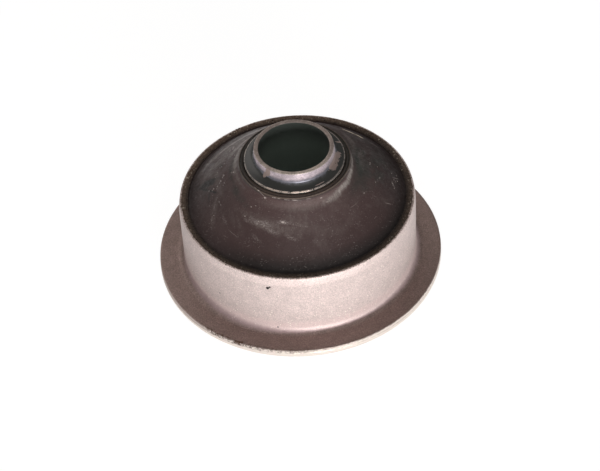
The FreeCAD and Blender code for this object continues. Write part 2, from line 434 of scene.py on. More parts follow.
def addTree(piece, tree, inputs):
    modifier = piece.modifiers.new(tree.name, "NODES")
    modifier.node_group = tree
    for item in tree.interface.items_tree:
        if item.item_type == "SOCKET" and item.in_out == "INPUT" and item.name in inputs:
            modifier[item.identifier] = inputs[item.name]
    piece.update_tag()
    bpy.context.view_layer.update()
    shape = bpy.data.meshes.new_from_object(piece.evaluated_get(bpy.context.evaluated_depsgraph_get()))
    piece.modifiers.clear()
    piece.data = shape
    return piece


def addObject(name, data):
    made = bpy.data.objects.new(name, data)
    bpy.context.scene.collection.objects.link(made)
    return made


def newPiece(name, points=(), edges=(), faces=()):
    shape = bpy.data.meshes.new(name)
    shape.from_pydata(points, edges, faces)
    return addObject(name, shape)


def faceOutwards(piece):
    edit = bmesh.new()
    edit.from_mesh(piece.data)
    bmesh.ops.recalc_face_normals(edit, faces=edit.faces)
    if edit.calc_volume(signed=True) < 0:
        bmesh.ops.reverse_faces(edit, faces=edit.faces)
    edit.to_mesh(piece.data)
    edit.free()


def turnSection(name, section, inputs, tearWeight=None, liftWeight=None):
    points = [(across * mm, 0.0, up * mm) for across, up in section]
    piece = newPiece(name, points, [(n, (n + 1) % len(points)) for n in range(len(points))])
    for title, weight in (("tear", tearWeight), ("lift", liftWeight)):
        weights = piece.data.attributes.new(title, "FLOAT", "POINT")
        for number, (across, up) in enumerate(section):
            weights.data[number].value = weight(across, up) if weight else 0.0
    faceOutwards(addTree(piece, turnTree, inputs))
    return piece


# collar: one drawn sheet, blasted and phosphated, with a sheared flange edge

collarSizes = {
    "flangeRadius": collarBox[1].x,
    "wallRadius": mounts["housing_seat"]["dims"]["r_mm"],
    "height": collarBox[1].z,
    "sheet": mounts["flange_seat"]["pos_m"][2] / mm,
    "bendRadius": 1.6,
    "leadInStart": 14.92,
    "leadInDepth": 0.24,
    "rimCorner": 0.18,
    "rimFall": 0.25,          # the cut edge falls this much towards the rubber
    "rollover": 0.3,
    "fractureStart": 1.02,    # height where the smooth sheared band of the edge ends
    "fractureDepth": 0.05,
    "edgeBreak": 0.12,
    "steps": 1060,
}

collarLook = palette(
    wall=(232, 214, 210), foot=(244, 216, 214), turning=(186, 158, 162), flange=(158, 137, 131),
    edge=(236, 226, 216), chip=(78, 52, 34), pit=(38, 33, 30), residue=(56, 46, 40), inside=(110, 100, 96),
    glitter=(255, 246, 236), fringe=(120, 96, 78), flangeTint=(122, 108, 100))

collarSides = {
    # the next three give painted shade at the foot of the wall, on the left and on the right
    "filmHigh": (180, 42, 26),
    "filmLong": (222, 38, 26),
    "filmRight": (345, 30, 24),
    # painted highlight on the top of the wall at the front
    "rimFront": (268, 50, 30),
    # painted shade on the flange's front and on the wall's sides
    "flangeFront": (285, 50, 40),
    "wallFront": (276, 34, 34),
    "edgeFilmed": (200, 26, 16),
    "manyChips": (240, 14, 8),
    "fewChips": (258, 12, 12),
}

collarPits = [
    dab((24.1, 14.1, 253.2), (0.34, 0.3)), dab((24.1, 14.42, 254.3), (0.26, 0.17)),
    dab((24.23, 3.11, 256.8), (0.17, 0.17), ragged=0.2), dab((24.1, 7.56, 226.2), (0.13, 0.13), ragged=0.2),
    dab((24.1, 11.2, 312), (0.1, 0.1), 0.7), dab((24.1, 9.1, 291), (0.09, 0.1), 0.6),
]


def makeCollarFinish():
    look, flangeRadius = collarLook, collarSizes["flangeRadius"]
    finish, shader, at, side = newFinish("collarFinish", collarSides)
    vector, radius, height = at.vector, at.radius, at.height
    grain = useGroup(grainGroup, vector, 3300, 420)
    # the flange's darker colour begins part of the way round the bend, and higher up on the left; on the left
    # and on the right it also fades in softer, as painted shade at the foot of the wall
    aroundBend = radius - height + at.tear * 0.5
    fade = mixValue(side.filmLong, 0.4, 1.7) + side.filmRight * 0.9
    onFlange = remap((aroundBend - mixValue(side.filmHigh, 22.15, 21.1)) / fade, -1, 1, smooth=True)
    offFlange = 1 - onFlange
    onEdge = remap(radius, flangeRadius - 0.22, flangeRadius - 0.1, smooth=True)
    ragged = uneven(vector, 1500, 4, 0.7, 0.3, 0.7, -0.22, 0.22)
    underneath = atLeast(remap(height, 0.1, 0.02), remap(radius, 24, 23.4) * remap(height, 16.3, 15.8))
    colour = layers(look.wall, (onFlange, look.flange), (underneath, look.inside))
    mottle = remap(grain["Mottle"], 0.3, 0.7, 0.93, 1.05)
    fine = remap(grain["Grain"], 0.36, 0.64, 0.87, 1.1)
    finer = uneven(vector, 7000, 2, 0.6, 0.36, 0.64, 0.8, 1.16)
    # painted highlight: the wall's lead-in band is lighter at the front
    leadIn = mixValue(side.rimFront, 1, remap(height, 14.7, 15.3, 0.95, 1.1))
    coarse = mixValue(onFlange, 1, uneven(vector, 3900, 3, 0.7, 0.36, 0.64, 0.74, 1.26))
    colour = shaded(colour, mottle, fine, finer, leadIn, coarse)
    tinted = uneven(vector, 900, 3, 0.6, 0.35, 0.65, 0, 0.35)
    # painted highlight: a pale pink band along the foot of the wall; painted shade: a purple band in the
    # middle of the bend
    colour = layers(colour, (band(height, 2.2, 4.6, 1) * offFlange * 0.4, look.foot),
                    (onFlange * offFlange * 2.2, look.turning), (tinted * onFlange, look.flangeTint))
    # painted shade: the flange darker at the front, and the wall darker away from the front
    colour = shaded(colour, mixValue(onFlange * side.flangeFront, 1, 0.8))
    colour = shaded(colour, mixValue(onFlange, mixValue(side.wallFront, 0.87, 1), 1))
    glitter = (specks(vector, 2600, 0.22, 0.38) * remap(height, 2.2, 3.4)
               * mixValue(remap(height, 6, 9), 1, 0.7))
    # the sheared edge is bare and bright, with a dull line where the shear turns into fracture
    tornHeight = height + ragged
    bare = onEdge * (1 - remap(tornHeight, 1.5, 1.66) * 0.85)
    shearLine = onEdge * band(height + ragged * 0.6, 0.95, 1.1, 0.06) * remap(at.tear, -0.12, 0.12, 0.1, 0.7)
    stained = onEdge * uneven(vector, 800, 5, 0.75, 0.48, 0.66, 0, 0.6)
    filmed = onEdge * remap(tornHeight, 0.5, 1) * side.edgeFilmed * 0.75
    colour = layers(colour, (glitter, look.glitter), (bare, look.edge), (shearLine, look.flange),
                    (stained, look.wall), (filmed, look.flange))
    # rubber residue along the torn top edge of the wall
    torn = calc("MULTIPLY_ADD", at.fineTear, 0.9, at.tear * 0.7) + height
    offTheFlange = remap(radius, 25, 24.4)
    fringe = remap(torn, 16.74, 16.92, smooth=True) * offTheFlange
    residue = remap(torn, 16.94, 17.06, smooth=True) * offTheFlange
    pitted = marks(at, collarPits)
    chipped = (uneven(vector, 1300, 4, 0.85, 0.49, 0.54) * remap(radius + ragged, 28.75, 28.9)
               * remap(tornHeight, 1.05, 1.2) * atLeast(side.manyChips, side.fewChips * 0.7))
    hollow = atLeast(pitted, chipped)
    colour = layers(colour, (fringe * 0.6, look.fringe), (residue, look.residue), (pitted, look.pit),
                    (chipped, look.chip))
    metallic = remap(onFlange, 0, 1, 0.2, 0.75) * remap(atLeast(residue, hollow), 0, 1, 1, 0)
    rough = mixValue(onEdge, remap(grain["Grain"], 0.3, 0.7, 0.46, 0.6), 0.42) + hollow * 0.4
    setShader(shader, colour, rough, bump(grain["Grain"] - hollow * 2, 0.07, 0.7), metallic)
    return finish


def collarSection():
    size = SimpleNamespace(**collarSizes)
    bendCentre = (size.wallRadius + size.bendRadius, size.sheet + size.bendRadius)
    insideRadius = size.wallRadius - size.sheet
    edge, inset = size.flangeRadius, size.flangeRadius - size.fractureDepth
    upper = (inset - size.edgeBreak, size.sheet)
    section = arcPoints(bendCentre, size.bendRadius + size.sheet, 180, 270, 14)
    section += linePoints((bendCentre[0], 0), (edge - size.rollover, 0), 6)[1:-1]
    section += arcPoints((edge - size.rollover, size.rollover), size.rollover, 270, 360, 6)
    section += linePoints((edge, size.rollover), (edge, size.fractureStart), 5)[1:]
    section += linePoints((inset, size.fractureStart + 0.08), (inset, size.sheet - size.edgeBreak), 5)
    section += linePoints((inset - 0.05, size.sheet - 0.03), upper, 2)
    section += linePoints(upper, (bendCentre[0], size.sheet), 8)[1:-1]
    section += arcPoints(bendCentre, size.bendRadius, 270, 180, 12)
    section += linePoints((size.wallRadius, bendCentre[1]), (size.wallRadius, size.leadInStart), 14)[1:]
    shoulder = size.height - size.rimCorner
    rise = shoulder - size.leadInStart
    section += [(size.wallRadius - size.leadInDepth * (step / 6) ** 2, size.leadInStart + rise * step / 6)
                for step in range(1, 7)]
    rim = size.wallRadius - size.leadInDepth
    section += arcPoints((rim - size.rimCorner, shoulder), size.rimCorner, 0, 90, 5)[1:]
    cutEdge = size.height - size.rimFall
    section += linePoints((rim - size.rimCorner, size.height), (insideRadius, cutEdge), 4)[1:]
    section += linePoints((insideRadius, cutEdge), (insideRadius, bendCentre[1]), 4)[1:-1]
    return section


def collarTear(across, up):
    size = SimpleNamespace(**collarSizes)
    if across > size.flangeRadius - 0.2 and up > size.fractureStart:
        return 0.6
    return 0.7 if up > size.height - 0.3 and across > size.wallRadius - 0.5 else 0.0


collar = turnSection("collarShell", collarSection(), {
    "Steps": collarSizes["steps"], "Finish": makeCollarFinish(), "Tear Depth": 0.12 * mm,
    "Tear Scale": 2200.0, "Wander Depth": 0.1 * mm}, collarTear)
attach(collar, "root")
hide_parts("outer_collar")
print("collar made:", len(collar.data.polygons), "faces")


# rubber: the moulding, with its dome, neck, lip, and the torn skin over the collar's top edge

rubberSizes = {
    "sleeveRadius": sleeveBox[1].x,
    "collarRadius": collarSizes["wallRadius"] - collarSizes["sheet"],
    "skinRadius": rubberBox[1].x - 0.12,
    "footHeight": rubberBox[0].z,
    "landHeight": rubberBox[1].z,
    "footWidth": 1.1,
    "recessSlope": 2.4,
    "recessHeight": 3.6,
    "skinTop": 17.0,
    "skinInside": (22.2, 16.8),
    "troughOutside": 22.05,
    "troughInside": 21.85,
    "troughBottom": 16.65,
    "domeTop": (11.63, 25.5),
    "domeCurve": 105.0,
    "domeSwell": 0.288,       # height of the dome's middle over the straight line between its ends
    "neckTop": (11.24, 26.25),
    "lipTop": 26.59,
    "lipStart": 11.04,
    "grooveRadius": 10.92,
    "grooveBottom": 26.45,
    "landEdge": 10.8,
    "steps": 1200,
}

rubberLook = palette(
    high=(82, 64, 63), low=(58, 43, 42), trough=(28, 21, 20), bloom=(116, 106, 102), chalk=(182, 172, 168),
    green=(46, 49, 45), speck=(192, 180, 174), scratch=(240, 226, 204), skin=(77, 62, 53),
    grit=(176, 164, 148), land=(60, 49, 46), landSide=(42, 40, 36), sheen=(170, 163, 158),
    glow=(132, 115, 112), lip=(104, 90, 80), skinWorn=(108, 92, 80))

rubberSides = {
    "behind": (112, 52, 26),
    "front": (268, 55, 30),
    "right": (44, 45, 25),
    "lowRight": (30, 40, 25),
    "lowLeft": (207, 22, 20),
    "neckRight": (355, 26, 28),
    "glowing": (283, 34, 26),
    "ringFront": (270, 62, 30),
    "ringRight": (10, 40, 25),
    "dull": (50, 45, 30),
}


def onDome(radius, angle):
    size = SimpleNamespace(**rubberSizes)
    share = (radius - size.domeTop[0]) / (size.troughInside - size.domeTop[0])
    straight = size.domeTop[1] + (size.troughBottom - size.domeTop[1]) * share
    return radius, straight + 4 * share * (1 - share) * size.domeSwell, angle


def domeStrokes(*rows, **shared):
    # each row: radius and angle of both ends, width, strength, and where they differ softness and raggedness
    return [stroke(onDome(*row[:2]), onDome(*row[2:4]), *row[4:], **shared) for row in rows]


def domeDabs(*rows, **shared):
    # each row: radius and angle, size, strength, and where they differ softness and raggedness
    return [dab(onDome(*row[:2]), (row[2], row[2]), *row[3:], **shared) for row in rows]


rubberMarks = {
    # wide faint wipes of grey, and painted sheen on the far side
    "smears": domeStrokes(
        (19.34, 173.3, 18.08, 165.2, 0.9, 0.35, 0.6), (18.28, 165.6, 13.42, 151.3, 1.5, 0.5, 0.7),
        (19.6, 154, 15.8, 128.8, 1.5, 0.85, 0.7), (16.2, 131, 12.6, 98, 1.6, 0.85, 0.7),
        (20.4, 128, 18, 116, 0.8, 0.6, 0.7), (16.4, 147.9, 12.94, 129.5, 1.5, 0.7, 0.7),
        (15.82, 172.3, 15.64, 193.9, 1, 0.36, 0.6), (15.84, 192.9, 19.26, 207.4, 0.8, 0.26, 0.6),
        (12.24, 150.5, 12.32, 196.3, 0.8, 0.4, 0.7), (15.02, 229.4, 15.64, 262.1, 1.4, 0.36, 0.7),
        (12.34, 236.2, 12.44, 262, 0.8, 0.2, 0.7), (12.44, 262, 12.54, 305.8, 0.9, 0.42, 0.7),
        (14.74, 268, 16.94, 289.8, 1.3, 0.16, 0.7), (17.74, 299.7, 14.9, 321.5, 1, 0.12, 0.7),
        (12.5, 16, 14.6, 44, 1, 0.6, 0.7), (19.72, 37, 20.57, 33, 0.5, 0.5, 0.6),
        (13.2, 355.3, 13.52, 15, 0.9, 0.26, 0.7)),
    # dusty streaks and patches
    "chalk": domeStrokes(
        (13.14, 141.3, 15.26, 148.8, 0.6, 0.5, 0.6, 0.6), (16.12, 153.7, 18.48, 165.1, 0.5, 0.4, 0.6, 0.6),
        (16.4, 194.8, 16.9, 196.8, 0.16, 0.8, 0.4, 0.7, True),
        (17.3, 198.4, 17.9, 200.8, 0.15, 0.9, 0.4, 0.7, True),
        (18.2, 201.8, 18.6, 203, 0.12, 0.6, 0.4, 0.7, True),
        (18.9, 204.5, 19.48, 207, 0.15, 0.9, 0.4, 0.7, True),
        (16.5, 199.6, 16.6, 203.6, 0.2, 0.5, 0.4, 0.7, True),
        (12.24, 150.5, 12.1, 182.3, 0.4, 0.6, 0.6, 0.6), (15.82, 229.9, 15.42, 235.4, 0.5, 0.5, 0.6, 0.6),
        (15.42, 236.3, 15.34, 247.2, 0.9, 0.85, 0.6, 0.6), (15.94, 247.2, 16.24, 253.2, 0.6, 0.6, 0.6, 0.6),
        (14.52, 255.6, 14.62, 261.1, 0.55, 0.9, 0.6, 0.6), (16.66, 262.1, 17.06, 266, 0.45, 0.6, 0.6, 0.6),
        (17.44, 238.3, 17.94, 243.2, 0.4, 0.5, 0.6, 0.6), (14.84, 266, 15.34, 275.9, 0.3, 0.4, 0.5, 0.5),
        (19.9, 354.5, 19.4, 357.6, 0.3, 0.9, 0.5, 0.7, True),
        (20, 359.5, 20.3, 1.6, 0.25, 0.8, 0.5, 0.7, True), (16.52, 351, 16.9, 355, 0.3, 0.5, 0.5, 0.5),
        (13.16, 9.2, 15.4, 22.4, 0.8, 0.4, 0.6, 0.6), (17.5, 211.6, 17.9, 216.5, 0.4, 0.5, 0.5, 0.5)),
    # small chalky spots
    "spots": domeDabs(
        (14.98, 144.8, 0.3, 0.9), (13.9, 149, 0.22, 0.8), (15.16, 149.2, 0.18, 0.8),
        (14.74, 165, 0.13, 0.7), (15.2, 167.4, 0.16, 0.7), (15.53, 167.8, 0.13, 0.7),
        (15.9, 171.6, 0.14, 0.7), (16.14, 173, 0.12, 0.6), (14.44, 179.8, 0.26, 0.8),
        (14.7, 181.2, 0.2, 0.8), (15.16, 183.2, 0.22, 0.8), (15.35, 184.6, 0.18, 0.7),
        (14.5, 188.2, 0.18, 0.7), (14.8, 189.5, 0.14, 0.6), (15.89, 186.2, 0.2, 0.7),
        (16.1, 188, 0.14, 0.6), (16.68, 185.8, 0.22, 0.8), (17, 186.2, 0.18, 0.7),
        (17.66, 184.3, 0.2, 0.7), (12.79, 183, 0.16, 0.8), (16.56, 200, 0.14, 0.6),
        (16.6, 203, 0.14, 0.6), (16.2, 176, 0.13, 0.6), (17.2, 190.4, 0.12, 0.5),
        (18.3, 196, 0.12, 0.5), soft=0.4, ragged=0.6),
    # small hard-edged flecks and scratches
    "flecks": domeDabs(
        (14.54, 257.7, 0.26, 0.8, 0.4, 0.5), (14.62, 259.7, 0.14, 0.6), (15.22, 238.9, 0.14, 0.7),
        (15.64, 243.7, 0.12, 0.6), (12.5, 184.2, 0.15, 0.6), (15.12, 332.1, 0.12, 1),
        (19.78, 353.9, 0.13, 0.8), (15.12, 4, 0.16, 0.6), (19.82, 1.2, 0.18, 0.7), (20.58, 6.4, 0.14, 0.6),
        (19.42, 357.2, 0.16, 0.7), (18.46, 204.5, 0.12, 0.7), (15.04, 183.8, 0.16, 0.7),
        (14.58, 147.8, 0.2, 0.6), (12.82, 159.8, 0.13, 0.7)) + domeStrokes(
        (19.68, 2.6, 20.78, 4.4, 0.07, 0.5, 0.4, 0.5, True),
        (18.98, 338.7, 19.88, 340.8, 0.05, 0.5, 0.4, 0.4, True),
        (12.44, 296.5, 12.54, 298.9, 0.07, 0.8, 0.4, 0.4, True),
        (15.1, 312.8, 15.26, 321, 0.04, 0.3, 0.4, 0.4, True),
        (18.42, 220.7, 18.62, 229.5, 0.04, 0.3, 0.4, 0.4, True)) + domeDabs(
        (15.23, 6, 0.15, 1), (16.68, 5.5, 0.11, 0.8), (14.25, 7, 0.1, 0.6), (16.2, 348.5, 0.13, 0.8),
        (16.93, 355.2, 0.13, 0.8), (19.6, 6.2, 0.12, 0.8), (20.57, 1.8, 0.15, 0.9), (12.37, 184.3, 0.2, 0.9),
        (12.98, 137.5, 0.3, 0.9), (13.64, 227.8, 0.12, 0.8), (15.35, 226.8, 0.13, 0.8),
        (13.16, 231.3, 0.1, 0.7)),
    # the bright scratch at the back
    "scratches": domeStrokes(
        (18.2, 53.4, 18.45, 49.2, 0.75, 1, 0.4, 0.5, True),
        (18.95, 45.9, 19.15, 43.3, 0.6, 1, 0.4, 0.6, True)),
    # darker, polished places
    "scuffs": domeStrokes(
        (19.9, 174.2, 17.7, 183.5, 0.25, 0.95, 0.4, 0.4), (17.7, 183.5, 16.2, 191.8, 0.28, 0.9, 0.4, 0.4),
        (19.7, 174.6, 16.2, 178.5, 1, 0.95, 0.4, 0.35), (16.42, 161.5, 15.1, 167.3, 0.5, 0.5, 0.5, 0.5),
        (17.62, 186.9, 18.24, 192.7, 0.4, 0.5, 0.5, 0.5)),
    # places with a greenish cast, partly painted shade on the right near the neck
    "green": domeStrokes(
        (13.04, 198.5, 13.68, 218.4, 1.1, 0.6, 0.7), (12.56, 166.6, 13.2, 199.6, 0.9, 0.8, 0.7),
        (12.5, 8, 13.3, 337, 1.4, 1, 0.7), (12.76, 11.3, 15.58, 34, 2, 0.7, 0.7),
        (14.6, 344.2, 17.44, 12, 2.6, 0.8, 0.7), (17.14, 173.2, 18.8, 184.8, 1, 0.35, 0.7)),
    # pale sheen round the neck and on the far side
    "neckSheen": domeStrokes(
        (12.34, 299.9, 12.1, 313.9, 0.7, 0.6, 0.8, 0.6), (12, 311.9, 11.8, 330, 0.65, 1, 0.7, 0.6),
        (11.8, 326, 11.54, 346, 0.55, 1, 0.7, 0.6), (12.1, 148, 12, 178, 0.7, 0.6, 0.7, 0.6),
        (18.6, 147.8, 15.6, 127, 0.7, 0.7, 0.9, 0.8), (16, 127, 12.8, 104, 0.9, 0.65, 0.9, 0.8),
        (20.6, 126, 18, 110, 0.6, 0.35, 0.9, 0.8), (13.6, 152, 12.3, 126, 0.7, 0.8, 0.9, 0.8),
        (11.5, 342.1, 11.4, 6.1, 0.3, 0.7, 0.6, 0.5), (11.9, 172.1, 11.92, 205.1, 0.4, 0.25, 0.7, 0.6)),
    # pale crumbs caught on the ring
    "nibs": [
        dab((22.85, 16.91, 25.2), (0.14, 0.1), 0.6), dab((22.77, 16.9, 21.8), (0.13, 0.1), 0.6),
        dab((22.36, 16.83, 13), (0.12, 0.1), 0.6), dab((23.1, 16.95, 185), (0.22, 0.17), 0.9, 0.4, 0.8),
        dab((23.35, 17, 163), (0.34, 0.22), 0.9, 0.4, 0.8),
        dab((23.66, 16.9, 269), (0.22, 0.18), 0.8, 0.3, 0.5),
    ],
    # painted glints along the lip's edge
    "glints": [
        stroke((10.9, 26.5, 219.5), (11.05, 26.5, 226.5), 0.05, 0.6, 0.4, 0.4, True),
        dab((11.08, 26.48, 227.8), (0.16, 0.26), 0.95, 0.4, 0.5),
        stroke((11.15, 26.5, 228.5), (11.45, 25.9, 236), 0.05, 0.6, 0.4, 0.4, True),
        dab((11.49, 25.75, 236.8), (0.24, 0.28), 1, 0.4, 0.5),
        stroke((11.28, 26.25, 244.6), (11.28, 26.3, 248.2), 0.09, 0.85, 0.4, 0.5, True),
        stroke((11.28, 26.3, 249.6), (11.28, 26.3, 252.6), 0.08, 0.7, 0.4, 0.5, True),
        stroke((11.28, 26.25, 257.5), (11.29, 26.2, 262), 0.08, 0.6, 0.4, 0.5, True),
        stroke((11.29, 26.2, 264.5), (11.31, 26.1, 270.5), 0.09, 0.75, 0.4, 0.5, True),
        stroke((11.3, 26.15, 279), (11.3, 26.1, 283), 0.06, 0.45, 0.4, 0.5, True),
        dab((11.59, 25.6, 294.2), (0.16, 0.2), 0.8, 0.4, 0.5),
        stroke((11.26, 26.4, 330), (11.3, 26.1, 345), 0.05, 0.5, 0.4, 0.4, True),
        stroke((11.24, 26.5, 348), (11.24, 26.5, 2), 0.05, 0.6, 0.4, 0.4, True),
        stroke((10.86, 26.6, 180), (10.86, 26.6, 196), 0.05, 0.4, 0.4, 0.4, True),
        stroke((11.24, 26.5, 176), (11.24, 26.5, 214), 0.05, 0.4, 0.4, 0.5, True),
    ],
}


def makeRubberFinish():
    look = rubberLook
    finish, shader, at, side = newFinish("rubberFinish", rubberSides)
    vector, radius, height = at.vector, at.radius, at.height
    found = {title: marks(at, group) for title, group in rubberMarks.items()}
    grain = useGroup(grainGroup, vector, 4200, 260)
    dome = band(radius, 11.4, 21.6, 0.15)
    # painted shade: the dome darkens towards the trough, from further in at the front, and only faintly
    # behind
    sunk = calc("MAXIMUM", 0, (radius - mixValue(side.front, 19.8, 19.3)) / 1.9)
    troughShade = calc("SMOOTH_MIN", 1, sunk, 0.2) * (1 - side.behind * 0.85)
    bloom = remap(noise(vector, 180, 5, 0.62, 0.6), 0.46, 0.75, smooth=True)
    bloom = bloom * dome * remap(radius, 20.5, 17) * remap(streaks(at, 14, 0.5), 0.35, 0.65, 0.05, 0.4)
    wiped = (remap(streaks(at, 42, 0.8, 5), 0.36, 0.64, 0.35, 1.3)
             * uneven(vector, 700, 4, 0.7, 0.34, 0.62, 0.6, 1.25))
    dusty = uneven(vector, 4200, 4, 0.85, 0.44, 0.66) * uneven(vector, 1100, 3, 0.7, 0.36, 0.6, 0.25, 1)
    scratched = (remap(streaks(at, 90, 0.5, 5), 0.4, 0.62)
                 * uneven(vector, 2600, 4, 0.8, 0.4, 0.6, 0.5, 1.4))
    glow = (band(radius, 11.4, 12.3, 0.6) * remap(height, 25.95, 25.7) * side.glowing
            * uneven(vector, 1300, 4, 0.7, 0.3, 0.7, 0.3, 0.62))
    scraped = uneven(vector, 2600, 4, 0.8, 0.38, 0.5, 0.45, 1)
    drift = uneven(vector, 420, 4, 0.7, 0.44, 0.64, 0.04, 1)
    colour = layers(
        mixColour(remap(radius, 12, 20), look.high, look.low),
        # painted shade towards the trough
        (troughShade, look.trough),
        # painted shade: the right of the dome darker, and its lower right part darker still
        (side.right * 0.8, look.low),
        (side.lowRight * remap(radius, 16, 20) * 0.5, look.trough),
        # painted light: the lower left of the dome lighter
        (side.lowLeft * remap(radius, 16.5, 18.5) * 0.4, look.high),
        (bloom, look.bloom),
        # a greenish cast, partly painted shade on the right and beside the neck
        (found["green"] * uneven(vector, 420, 3, 0.6, 0.35, 0.6), look.green),
        (side.neckRight * band(radius, 11.9, 14.6, 1.6) * 0.7, look.green),
        (found["scuffs"], look.trough),
        # wipes of grey, partly painted sheen
        (found["smears"] * wiped, look.bloom),
        (found["chalk"] * dusty, look.chalk),
        (glow, look.glow),
        (found["neckSheen"] * remap(scratched, 0, 1, 0.4, 1), look.sheen),
        (found["spots"] * 0.75, look.chalk),
        (found["flecks"], look.speck),
        (found["scratches"] * scraped, look.scratch),
        (specks(vector, 1500, 0.1, 0.14) * dome * mixValue(drift, 0.14, 0.3), look.speck),
        (specks(vector, 3600, 0.5, 0.42) * dome * drift * 0.22, look.chalk))
    # the torn skin on the ring is gritty, and worn paler along its crown
    onSkin = remap(radius, 22.08, 22.22, smooth=True) * remap(height, 16.4, 16.6)
    gritty = noise(vector, 2400, 3, 0.75)
    grit = specks(vector, 2200, 0.3, 0.36) * remap(radius, 22.5, 23.2, 0.4, 0.95)
    pores = specks(addVectors(vector, (0.03, 0.02, 0)), 1900, 0.3, 0.4)
    crown = band(radius, 22.6, 23.5, 0.35) * remap(gritty, 0.4, 0.62)
    skin = layers(mixColour(crown, look.skin, look.skinWorn), (grit, look.grit), (pores * 0.8, look.trough))
    # painted light and shade on the ring: darker over its inner half, darker at the front and on the right,
    # lighter behind
    skin = shaded(skin, remap(radius, 22.35, 23.4, 0.5, 1.06), mixValue(side.ringFront, 1, 0.62),
                  mixValue(side.behind, 1, 1.6), mixValue(side.ringRight, 1, 0.88),
                  uneven(vector, 4200, 3, 0.8, 0.4, 0.6, 0.65, 1.3))
    skin = mixColour(found["nibs"], skin, look.grit)
    # the land, its side and the lip: the land's top is painted lighter at the front and its side painted
    # darker away from the front, as painted light and shade; the lip's edge is paler, more so at the front;
    # the glints are painted highlights
    landSide = remap(radius, 11.35, 11.25) * remap(height, 25.5, 26)
    lipTop = (mixValue(side.front, 0.7, 1) * band(radius, 11.03, 11.27, 0.04) * remap(height, 26.3, 26.45)
              * remap(at.fineTear, -0.2, 0.1, 0.5, 1))
    landTop = band(radius, 10.2, 10.74, 0.06) * remap(height, 26.4, 26.6)
    glint = found["glints"] * remap(streaks(at, 60, 1, 4), 0.38, 0.5)
    colour = layers(colour, (onSkin, skin), (landSide, mixColour(side.front, look.landSide, look.land)),
                    (lipTop, look.lip), (landTop * mixValue(side.front, 0.12, 0.55), look.lip),
                    (glint, look.speck))
    colour = shaded(colour, remap(grain["Grain"], 0.3, 0.7, 0.84, 1.14))
    # wiped streaks make the sheen uneven, and the right side is duller
    wiping = (remap(streaks(at, 26, 1, 5), 0.34, 0.66, -0.12, 0.16)
              + remap(grain["Mottle"], 0.34, 0.66, -0.06, 0.1))
    rough = wiping + 0.52 + atLeast(onSkin * 0.25, troughShade * 0.16, side.dull * 0.3)
    fine = bump(grain["Grain"], 0.02, 0.5)
    setShader(shader, colour, rough, bump(gritty * onSkin, 0.14, 0.9, fine))
    shader.inputs["Specular IOR Level"].default_value = 0.34
    return finish


def rubberSection():
    size = SimpleNamespace(**rubberSizes)
    inner, outer, rimTop = size.sleeveRadius, size.collarRadius, collarSizes["height"]
    dome = bowPoints((size.troughInside, size.troughBottom), size.domeTop, size.domeCurve, 1, 13)
    foot = inner + size.footWidth
    corners = [
        (inner, size.footHeight, 0),
        (foot, size.footHeight, 0.25),
        (foot + size.recessSlope, size.recessHeight, 1.4),
        (outer, size.recessHeight, 0.0),
        (outer, rimTop - collarSizes["rimFall"], 0.0),
        (size.skinRadius, rimTop - 0.02, 0.0),
        (size.skinRadius, size.skinTop, 0.13),
        (*size.skinInside, 0.08),
        (size.troughOutside, size.troughBottom, 0.08),
        (*dome[0], 0.0),
    ]
    rounded = roundedSection(corners)[:-1]
    onRing = [point for point in rounded if point[0] > size.troughInside + 0.1 and point[1] > rimTop - 0.3]
    onRing = onRing[1:] if onRing[0][0] < outer + 0.01 else onRing
    section = thickened(rounded[:rounded.index(onRing[0])], 6.0) + thickened(onRing, 0.12)
    section = [point for point in section if math.dist(point, dome[0]) > 0.02] + dome
    across, up = size.neckTop
    neck = [
        (*size.domeTop, 0.5),
        (across + 0.09, up - 0.3, 0.3),
        (across, up, 0.1),
        (across, size.lipTop, 0.09),
        (size.lipStart, size.lipTop, 0.05),
        (size.grooveRadius, size.grooveBottom, 0.05),
        (size.landEdge, size.landHeight, 0.07),
        (inner, size.landHeight, 0.0),
    ]
    for before, corner, after in zip(neck, neck[1:], neck[2:]):
        section += roundCorner(before[:2], corner[:2], after[:2], corner[2], 4 if corner[2] > 0.2 else 3)
    return section + [neck[-1][:2]]


def rubberTear(across, up):
    size = SimpleNamespace(**rubberSizes)
    if across > size.skinRadius - 0.35 and up > collarSizes["height"] - 0.1:
        return min(1.0, (across - size.skinRadius + 0.35) / 0.3)
    return 0.12 if up > size.lipTop - 0.2 and across > size.grooveRadius else 0.0


def rubberLift(across, up):
    inside = rubberSizes["skinInside"]
    return 1.0 if across > inside[0] - 0.05 and up > inside[1] - 0.05 else 0.0


rubberFinish = makeRubberFinish()
rubber = turnSection("rubberMoulding", rubberSection(), {
    "Steps": rubberSizes["steps"], "Finish": rubberFinish, "Tear Depth": 0.36 * mm, "Tear Scale": 1500.0,
    "Wander Depth": 0.2 * mm, "Wander Scale": 90.0, "Lift Depth": 0.16 * mm, "Lift Scale": 2200.0},
    rubberTear, rubberLift)
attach(rubber, "root")
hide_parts("rubber_body")
print("rubber made:", len(rubber.data.polygons), "faces")


# sleeve: a turned tube; its shoulder keeps a thin film of rubber from the mould

sleeveSizes = {
    "boreRadius": mounts["bolt_bore"]["dims"]["r_mm"],
    "radius": sleeveBox[1].x,
    "length": sleeveBox[1].z,
    "faceRadius": 8.0,
    "noseRadius": 8.27,
    "noseHeight": 2.15,
    "shoulderDrop": 0.7,
    "shoulderHollow": 3.6,
    "boreChamfer": 0.25,
    "noseBreak": 0.1,
    "footChamfer": 0.5,
    "steps": 720,
}

sleeveLook = palette(
    steel=(202, 188, 194), face=(160, 147, 141), faceEdge=(220, 208, 196), blue=(104, 108, 118),
    film=(46, 47, 45), bore=(74, 82, 76), bare=(168, 150, 144), wear=(228, 210, 196))

sleeveSides = {
    "front": (268, 58, 30),
    "thinFilm": (165, 60, 30),
    "wornEdge": (258, 32, 18),
}

